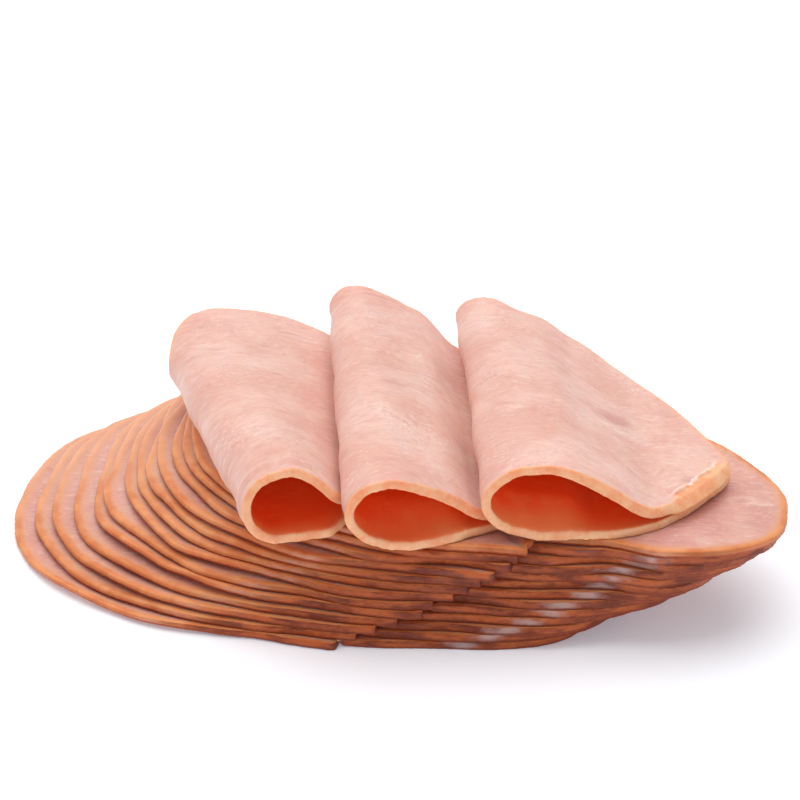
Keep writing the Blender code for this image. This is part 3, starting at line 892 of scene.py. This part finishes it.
class StackColours(bpy.types.PropertyGroup):
    """Colours and softness of the stacked slices."""
    meat_pale: StringProperty(
        name="Pale meat", description="Colour of the paler muscle", default="#E0AA9B")
    meat_pink: StringProperty(
        name="Pink meat", description="Colour of the pinker muscle", default="#D2948A")
    meat_deep: StringProperty(
        name="Deep meat", description="Colour of the darker flecks", default="#C58880")
    fibre: StringProperty(
        name="Fibre", description="Colour of the pale fibres", default="#EFD0C3")
    blush: StringProperty(
        name="Blush", description="Colour of the meat next to the under-skin", default="#DEA07E")
    rind_light: StringProperty(
        name="Light under-skin", description="Colour of the lighter under-skin",
        default="#E89A62")
    rind_dark: StringProperty(
        name="Dark under-skin", description="Colour of the darker under-skin",
        default="#D57B42")
    # Painted highlight: the paler under-skin towards the back.
    painted_rind_highlight: StringProperty(
        name="Pale under-skin", description="Colour of the under-skin towards the back",
        default="#EDB491")
    skin_light: StringProperty(
        name="Light skin", description="Colour of the lighter smoked skin", default="#C05E28")
    skin_dark: StringProperty(
        name="Dark skin", description="Colour of the darker smoked skin", default="#76290A")
    fat_grey: StringProperty(
        name="Set fat", description="Colour of the greyish fat on the skin", default="#C6A8A4")
    bruise: StringProperty(
        name="Dark spots", description="Colour of the purplish spots", default="#7A4540")
    # Painted shade colour under a free edge.
    crevice: StringProperty(
        name="Crevice", description="Colour under a free edge", default="#B04A24")
    # Painted shade colour in the gaps of the front wall.
    painted_wall_crevice_shade: StringProperty(
        name="Wall crevice", description="Colour between slices in the front wall",
        default="#7E3418")
    # Painted shade colour inside the notch.
    notch: StringProperty(
        name="Notch", description="Colour inside the notch", default="#5A2A22")
    # Emission colour of the painted glow; the stacked slices are given no strength for it.
    painted_glow_colour: StringProperty(
        name="Light through", description="Colour of light that has passed through",
        default="#FF4A12")
    softness: FloatProperty(
        name="Softness", description="How much light soaks into the meat",
        default=0.40, min=0.0, max=1.0, subtype="FACTOR")


class SliceDetail(bpy.types.PropertyGroup):
    """How finely the meshes are made."""
    outline_points: IntProperty(
        name="Outline points", description="Points round a flat slice", default=800, min=60)
    fold_stations: IntProperty(
        name="Fold stations", description="Points across a folded slice", default=150, min=20)
    fold_rows: IntProperty(
        name="Fold rows", description="Points along a folded slice", default=120, min=10)


class StageSizes(bpy.types.PropertyGroup):
    """Floor, light and camera."""
    floor_size: FloatProperty(
        name="Floor size", description="Side of the square floor", default=6.0, unit="LENGTH")
    fill_colour: StringProperty(
        name="Fill colour", description="Colour of the light that fills the shadows",
        default="#DCEBFF")
    fill_strength: FloatProperty(
        name="Fill strength", description="How much light fills the shadows",
        default=0.22, min=0.0)
    surround_strength: FloatProperty(
        name="Surround strength", description="Light from the white studio walls",
        default=0.52, min=0.0)
    light_strength: FloatProperty(
        name="Light strength", description="Light from the softbox overhead",
        default=2.1, min=0.0)
    light_spread: FloatProperty(
        name="Light spread", description="How wide the softbox looks from the table",
        default=math.radians(75.0), subtype="ANGLE")
    light_from: FloatVectorProperty(
        name="Light from", description="Which way the softbox lies",
        default=(-0.12, 0.34, 1.0), subtype="DIRECTION")
    sensor_width: FloatProperty(
        name="Sensor width", description="Width of the camera's sensor, in millimetres",
        default=36.0, min=1.0)
    lens: FloatProperty(
        name="Lens", description="Focal length of the camera", default=129.15, min=1.0)
    camera_place: FloatVectorProperty(
        name="Camera place", description="Where the camera stands",
        default=(0.00225, -0.62140, 0.36231), subtype="TRANSLATION")
    camera_tilt: FloatProperty(
        name="Camera tilt", description="How far the camera looks below the horizon",
        default=math.radians(27.606), subtype="ANGLE")
    floor_colour: StringProperty(
        name="Floor colour", description="Colour of the paper sweep", default="#FAFAFB")


# ---- operators -------------------------------------------------------------------------
class COLDCUTS_OT_flat_slices(bpy.types.Operator):
    """Build the leaning stack of flat slices"""
    bl_idname = "coldcuts.flat_slices"
    bl_label = "Flat slices"

    def execute(self, context):
        scene = context.scene
        material = stacked_meat(scene.coldcuts_stack)
        for level in range(len(SLIDES)):
            name = f"slice_{level + 1:02d}"
            mesh = flat_slice_mesh(level, scene.coldcuts_detail.outline_points)
            make_piece("meat_" + name, *mesh, material, FLAT_SLOT, name)
        return {"FINISHED"}


class COLDCUTS_OT_folded_slices(bpy.types.Operator):
    """Build the folded slices that lie on the stack"""
    bl_idname = "coldcuts.folded_slices"
    bl_label = "Folded slices"

    def execute(self, context):
        scene = context.scene
        detail = scene.coldcuts_detail
        material = folded_meat(scene.coldcuts_folded)
        for name, fold in FOLDED.items():
            mesh = folded_slice_mesh(fold, detail.fold_stations, detail.fold_rows)
            make_piece("meat_" + name, *mesh, material, FOLDED_SLOT, name)
        return {"FINISHED"}


class COLDCUTS_OT_stage(bpy.types.Operator):
    """Set the floor, the soft light and the camera"""
    bl_idname = "coldcuts.stage"
    bl_label = "Stage"

    def execute(self, context):
        scene = context.scene
        sizes = scene.coldcuts_stage
        half = sizes.floor_size / 2.0
        mesh = bpy.data.meshes.new("paper_sweep")
        mesh.from_pydata([(-half, -half, 0.0), (half, -half, 0.0), (half, half, 0.0),
                          (-half, half, 0.0)], [], [(0, 1, 2, 3)])
        mesh.materials.append(sweep_material(sizes))
        floor = bpy.data.objects.new("paper_sweep", mesh)
        floor.location.z = -FLOOR_CLEARANCE
        scene.collection.objects.link(floor)

        world = bpy.data.worlds.new("studio_surround")
        world.use_nodes = True
        sky = world.node_tree.nodes["Background"]
        sky.inputs["Color"].default_value = (1.0, 1.0, 1.0, 1.0)
        sky.inputs["Strength"].default_value = sizes.surround_strength
        scene.world = world

        sun = bpy.data.lights.new("overhead_softbox", "SUN")
        sun.energy = sizes.light_strength
        sun.angle = sizes.light_spread
        lamp = bpy.data.objects.new("overhead_softbox", sun)
        towards = Vector(sizes.light_from)
        lamp.rotation_euler = towards.to_track_quat("Z", "Y").to_euler()
        scene.collection.objects.link(lamp)

        camera = bpy.data.cameras.new("camera")
        camera.lens = sizes.lens
        camera.sensor_width = sizes.sensor_width
        viewer = bpy.data.objects.new("camera", camera)
        viewer.location = sizes.camera_place
        viewer.rotation_euler = (math.pi / 2.0 - sizes.camera_tilt, 0.0, 0.0)
        scene.collection.objects.link(viewer)
        scene.camera = viewer
        scene.view_settings.view_transform = "Standard"
        return {"FINISHED"}


class COLDCUTS_PT_sidebar(bpy.types.Panel):
    """Lists the steps in building order"""
    bl_idname = "COLDCUTS_PT_sidebar"
    bl_label = "Sliced chicken breast"
    bl_space_type = "VIEW_3D"
    bl_region_type = "UI"
    bl_category = "Cold Cuts"

    def draw(self, context):
        for operator in OPERATORS:
            self.layout.operator(operator.bl_idname)
        for group in ("coldcuts_detail", "coldcuts_stage"):
            settings = getattr(context.scene, group)
            for prop in settings.__annotations__:
                self.layout.prop(settings, prop)


OPERATORS = (COLDCUTS_OT_flat_slices, COLDCUTS_OT_folded_slices, COLDCUTS_OT_stage)
GROUPS = {"coldcuts_folded": FoldedColours, "coldcuts_stack": StackColours,
          "coldcuts_detail": SliceDetail, "coldcuts_stage": StageSizes}


def register():
    """Register the settings, operators and panel."""
    for name, group in GROUPS.items():
        bpy.utils.register_class(group)
        setattr(bpy.types.Scene, name, PointerProperty(type=group))
    for item in (*OPERATORS, COLDCUTS_PT_sidebar):
        bpy.utils.register_class(item)


def unregister():
    """Take everything out again."""
    for item in (COLDCUTS_PT_sidebar, *reversed(OPERATORS)):
        bpy.utils.unregister_class(item)
    for name, group in reversed(GROUPS.items()):
        delattr(bpy.types.Scene, name)
        bpy.utils.unregister_class(group)


def main():
    """Build every piece and the stage."""
    register()
    bpy.ops.coldcuts.flat_slices()
    bpy.ops.coldcuts.folded_slices()
    bpy.ops.coldcuts.stage()


if __name__ == "__main__":
    main()
